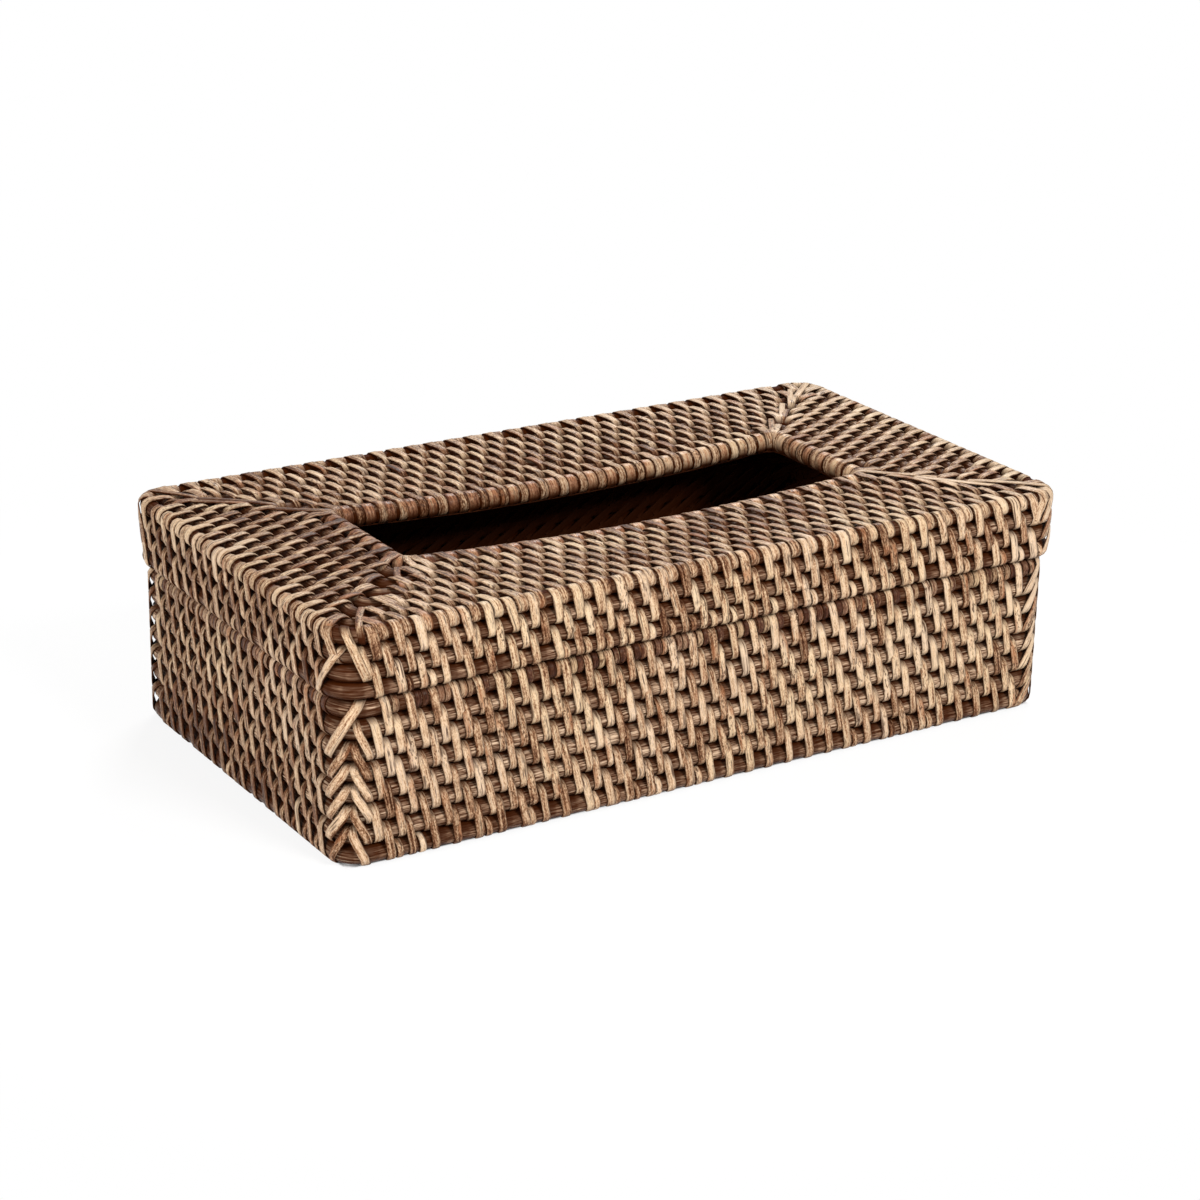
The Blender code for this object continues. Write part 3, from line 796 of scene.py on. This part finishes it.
# How far on the side's stitches are counted, to alternate evenly with the top's on the edge
EDGE_SHIFT = 0.68
TOP_TONE = 0.44
WALL_TONES = [0.3, 0.5, 0.45, 0.36]
top_nodes = ["slot_rim_cane"] + [f"lid_top_cane_{row}" for row in range(TOP_ROWS - 1, 0, -1)]
wall_nodes = ["lid_edge_cane"] + [f"lid_side_cane_{row}" for row in range(1, SIDE_ROWS + 1)]
slot_rim = hoop_of("slot_rim_cane", MITRE_INNER_RADIUS + SLOT_CANE_RADIUS, SLOT_CANE_RADIUS, 0)
top_hoops = [slot_rim]
for node in top_nodes[1:]:
    top_hoops.append(hoop_of(node, MITRE_INNER_RADIUS + CANE_RADIUS, CANE_RADIUS, TOP_SWELL))
wall_hoops = [hoop_of(node, LID_CORNER, CANE_RADIUS, LID_SWELL) for node in wall_nodes]
top_reach = (top_hoops[2]["half_width"] - top_hoops[1]["half_width"]) / 2 + ROW_OVERLAP
side_reach = (wall_hoops[0]["height"] - wall_hoops[1]["height"]) / 2 + ROW_OVERLAP
for row, (node, hoop) in enumerate(zip(top_nodes, top_hoops)):
    reach = top_reach if row else hoop["radius"]
    cane_hoop(node + "_bent", node, hoop, (reach, reach), TOP_TONE, "lid", True, row)
for row, (node, hoop, tone) in enumerate(zip(wall_nodes, wall_hoops, WALL_TONES)):
    above = side_reach if row else hoop["radius"]
    below = side_reach if row < SIDE_ROWS else hoop["radius"]
    cane_hoop(node + "_bent", node, hoop, (above, below), tone, "lid", False,
              TOP_ROWS + row + EDGE_SHIFT)


# Strip of the lid: ten courses of the same peel, from the slot over the edge and down the side,
# wound over both canes and drawn tight. The stitches fan out over the mitres and at the corners.
SLOT_STRIP_WIDTH = 0.0030
EDGE_STRIP_WIDTH = 0.0033
lid_hoops = top_hoops + wall_hoops
# Offset from a corner's middle, and lean, of each stitch there: on the top, on the top's front
# left corner, on the front left corner below, on the edge, and on the side
FAN = [(-0.0027, 0.0008), (0.0022, 0.0006)]
ARC = [(-0.0036, 0.0022), (0.0016, 0.0036)]
NEAR = [(0.0036, 0.0030)]
SPRAY = [(-0.0045, -0.0035), (-0.0008, -0.0045), (0.0022, 0.0048)]
SLANT = [(0.0004, -CHEVRON_LEAN), (0.0048, 0.0030)]
LID_STRIP_TONES = [0.45, 0.42, 0.42, 0.44, 0.48, 0.52, 0.56, 0.57, 0.57, 0.54]
for k, middle in enumerate(LID_STRIP_TONES):
    flat = k < TOP_ROWS
    corner = FAN if flat else SPRAY if k == TOP_ROWS else SLANT
    top_width = SLOT_STRIP_WIDTH if k == 0 else EDGE_STRIP_WIDTH if k == TOP_ROWS else STRIP_WIDTH
    lashing(f"lid_lashing_{k + 1}", lid_hoops[k], lid_hoops[k + 1], k if flat else k + EDGE_SHIFT,
            flat, "lid", middle, [corner] * 3 + [ARC if flat else NEAR],
            top_width, EDGE_STRIP_WIDTH if k == TOP_ROWS - 1 else STRIP_WIDTH,
            top_shares=OPEN_TOP_SHARES if k in (0, TOP_ROWS) else None,
            open_foot=k == TOP_ROWS - 1, right_pale=RIGHT_PALE if k else 0.12,
            top_dark=0 if k else 0.14)


# Ties on the lid: short strips bound over several rows along each mitre, where the courses turn
# the corner, and three loose-looking ones on the front left corner of the side.
# Corner, first row, last row, offset, lean, width and tone of each tie along the mitres, with the
# corners counted anticlockwise from the front right one
TIES = [(0, 0, 3, 0.0004, 0.0, 0.0024, 0.7), (0, 2, 5, -0.0008, 0.0008, 0.0026, 0.75),
        (0, 4, 7, 0.0006, -0.0004, 0.0026, 0.66), (0, 1, 2, -0.0014, 0.001, 0.0022, 0.45),
        (1, 0, 1, 0.0, 0.0002, 0.0027, 0.78), (1, 0, 2, 0.0009, 0.0, 0.0023, 0.44),
        (1, 2, 3, 0.0002, 0.0, 0.0026, 0.3), (1, 2, 4, 0.0008, -0.0002, 0.0023, 0.8),
        (1, 4, 5, 0.0001, 0.0002, 0.0026, 0.6), (1, 4, 6, 0.0008, -0.0002, 0.0022, 0.74),
        (1, 5, 7, -0.0002, 0.0, 0.0026, 0.66),
        (2, 0, 3, 0.0006, 0.0, 0.0024, 0.2), (2, 2, 5, -0.0004, 0.0006, 0.0022, 0.16),
        (2, 3, 6, 0.0012, -0.0008, 0.0020, 0.3), (2, 5, 7, -0.0004, 0.0, 0.0024, 0.22),
        (3, 0, 1, 0.0, 0.0028, 0.0027, 0.62), (3, 1, 3, 0.0004, 0.0012, 0.0022, 0.18),
        (3, 4, 5, 0.0012, 0.0028, 0.0027, 0.62), (3, 3, 4, -0.0012, -0.001, 0.0022, 0.3),
        (3, 5, 7, 0.0004, 0.0006, 0.0022, 0.34)]
for k, (corner, first, last, *shape) in enumerate(TIES):
    binding(f"mitre_tie_{k + 1}", lid_hoops[first], lid_hoops[last], corner, *shape, True, "lid")
# Corner, first and last row, offset, lean, width, tone and bow of each on the side's corner
CORNER_TIES = [(3, 0, 2, 0.0002, 0.0066, 0.0028, 0.55, 0.00028),
               (3, 1, 3, 0.0008, -0.0105, 0.0025, 0.6, 0.00028),
               (3, 0, 1, -0.0042, 0.0034, 0.0029, 0.5, 0.0001)]
for k, (corner, first, last, *shape, bow) in enumerate(CORNER_TIES):
    binding(f"side_corner_tie_{k + 1}", wall_hoops[first], wall_hoops[last], corner, *shape,
            False, "lid", bow)


# Turns on the lid: the slot's hoop is covered by wide glossy ones, spaced evenly between each two
# stitches of the first course, and the lowest hoop has short pale ones beside its stitches. They
# are of the same peel, wound clockwise and made fast under the courses.
SLOT_STOPS = [(0.0, (0.10, 0.036, 0.018)), (0.35, (0.33, 0.148, 0.075)),
              (0.65, (0.53, 0.33, 0.19)), (1.0, (0.70, 0.51, 0.34))]
SLOT_TURN_WIDTH = 0.0036
SLOT_TURN_LEAN = 0.0012
LID_FOOT_TURN_OFFSET = 0.0036
LID_FOOT_TURN_WIDTH = 0.0023
LID_FOOT_TURN_LEAN = 0.0026
LID_FOOT_TURN_SHARE = 0.8
slot_strip = strip_finish("slot_strip_glossy", SLOT_STOPS, 0.28, 0.13)
slot_table = plan_table(slot_rim)
slot_places = np.sort(np.concatenate(side_places(slot_table, FLAT_MARGINS, 0)))
gaps = np.diff(np.append(slot_places, slot_places[0] + slot_table["distance"][-1]))
filled = np.round(gaps / STITCH_PERIOD * 2).astype(int) - 1
step = np.arange(filled.sum()) - np.repeat(np.cumsum(filled) - filled, filled) + 1
slot_turns = np.repeat(slot_places, filled) + np.repeat(gaps / (filled + 1), filled) * step
slot_across = on_plan(slot_table, slot_turns)[0][:, 0] / slot_rim["half_length"]
slot_tones = 0.41 + 0.2 * slot_across + draws.normal(0, 0.13, len(slot_turns))
turns("slot_rim_turns", slot_rim, slot_turns, SLOT_TURN_LEAN, SLOT_TURN_WIDTH,
      np.clip(slot_tones, 0, 1), slot_strip, True, "lid")
lid_foot_places = places_on(wall_hoops[-1], TOP_ROWS + SIDE_ROWS - 1 + EDGE_SHIFT)
lid_foot_places = lid_foot_places[draws.random(len(lid_foot_places)) < LID_FOOT_TURN_SHARE]
turns("lid_foot_turns", wall_hoops[-1], lid_foot_places + LID_FOOT_TURN_OFFSET, LID_FOOT_TURN_LEAN,
      LID_FOOT_TURN_WIDTH, np.clip(draws.normal(0.5, 0.2, len(lid_foot_places)), 0.1, 1),
      split_strip, False, "lid", FOOT_TURN_SHARES)


# Ground and backdrop: the cover stands on a wide white sheet of card, in front of a white room.
# The card keeps the cover's soft shadow.
GROUND_REACH = 3.0
SHADOW_SHARE = 0.15
SHADOW_START = 0.12
SHADOW_END = 0.31
UNDER_HALF_LENGTH = 0.129
UNDER_HALF_WIDTH = 0.0673
UNDER_FADE = 0.001
WORLD_LEVEL = 0.17


def seen_directly(n):
    """1 for rays from the camera, and from gloss and glass that show the background, else 0."""
    path = n.node("ShaderNodeLightPath").socket.node.outputs
    camera, glossy, clear = (Nodes(n.tree, path[kind]) for kind in
                             ("Is Camera Ray", "Is Glossy Ray", "Is Transmission Ray"))
    return n.maths("MAXIMUM", n.maths("MAXIMUM", camera, glossy), clear)


def ground():
    """Flat white square at the height that the cover stands on.

    To the camera it is plain white, with a share of real shading near the cover that keeps the
    shadow, and it is as dark under the cover as real shading makes it.
    """
    mesh = bpy.data.meshes.new("ground")
    corners = np.array([(-1, -1, 0), (1, -1, 0), (1, 1, 0), (-1, 1, 0)]) * GROUND_REACH
    mesh.from_pydata(corners, [], [(0, 1, 2, 3)])
    piece = bpy.data.objects.new("ground", mesh)
    bpy.context.scene.collection.objects.link(piece)
    finish, shader, n = new_finish("ground_white")
    feed(shader, n, Base_Color=(0.95, 0.95, 0.95, 1), Roughness=0.9)
    plain = n.node("ShaderNodeEmission", Color=(1, 1, 1, 1), Strength=1.0)
    place = n.node("ShaderNodeTexCoord", out=3)
    distance = n.node("ShaderNodeVectorMath", {"operation": "LENGTH"}, out=1, i0=place)
    share = 1 - SHADOW_SHARE * (1 - distance.between(SHADOW_START, SHADOW_END))
    x, y = n.split(place)[:2]
    beyond = n.maths("MAXIMUM", n.maths("ABSOLUTE", x) - UNDER_HALF_LENGTH,
                     n.maths("ABSOLUTE", y) - UNDER_HALF_WIDTH)
    share = share * beyond.between(0.0, UNDER_FADE) * seen_directly(n)
    mixed = n.node("ShaderNodeMixShader", i0=share, i1=Nodes(n.tree, shader.outputs[0]), i2=plain)
    n.tree.links.new(mixed.socket, finish.node_tree.nodes["Material Output"].inputs["Surface"])
    mesh.materials.append(finish)


ground()
world = bpy.data.worlds.new("studio")
bpy.context.scene.world = world
world.use_nodes = True
sky = Nodes(world.node_tree)
level = WORLD_LEVEL + (1 - WORLD_LEVEL) * seen_directly(sky)
backdrop = world.node_tree.nodes["Background"]
backdrop.inputs["Color"].default_value = (1, 1, 1, 1)
world.node_tree.links.new(level.socket, backdrop.inputs["Strength"])


# Lamps: three square soft boxes on stands, one in front, one at the left and one behind, each
# turned to face the middle of the ground. Place, size and power of each.
LAMPS = {"key_soft_box": ((0.15, -1.0, 0.8), 0.35, 14),
         "side_soft_box": ((-1.1, -0.4, 0.6), 0.7, 12),
         "back_soft_box": ((0.6, 0.7, 0.85), 0.5, 10)}
for name, (place, size, power) in LAMPS.items():
    light = bpy.data.lights.new(name, "AREA")
    light.size = size
    light.energy = power
    lamp = bpy.data.objects.new(name, light)
    lamp.location = place
    lamp.rotation_euler = (-Vector(place)).to_track_quat("-Z", "Y").to_euler()
    bpy.context.scene.collection.objects.link(lamp)


# Camera: a long lens that looks down on the front left corner, from where the photograph was
# taken. Its place and its directions were found from the cover's edges in the photograph.
CAMERA_PLACE = (-0.48986599, -0.7722393, 0.38469796)
CAMERA_RIGHT = (0.8480687311, -0.529536225, 0.019256518)
CAMERA_UP = (0.172198078, 0.3097847712, 0.9350835351)
CAMERA_LENS = 88.877
SENSOR_WIDTH = 36
CLIP_START = 0.01
camera = bpy.data.objects.new("camera", bpy.data.cameras.new("camera"))
camera.data.sensor_fit = "HORIZONTAL"
camera.data.sensor_width = SENSOR_WIDTH
camera.data.lens = CAMERA_LENS
camera.data.clip_start = CLIP_START
right, up = Vector(CAMERA_RIGHT), Vector(CAMERA_UP)
turn = Matrix((right, up, right.cross(up))).transposed().to_4x4()
camera.matrix_world = Matrix.Translation(CAMERA_PLACE) @ turn
bpy.context.scene.collection.objects.link(camera)
bpy.context.scene.camera = camera
bpy.context.scene.view_settings.view_transform = "Standard"
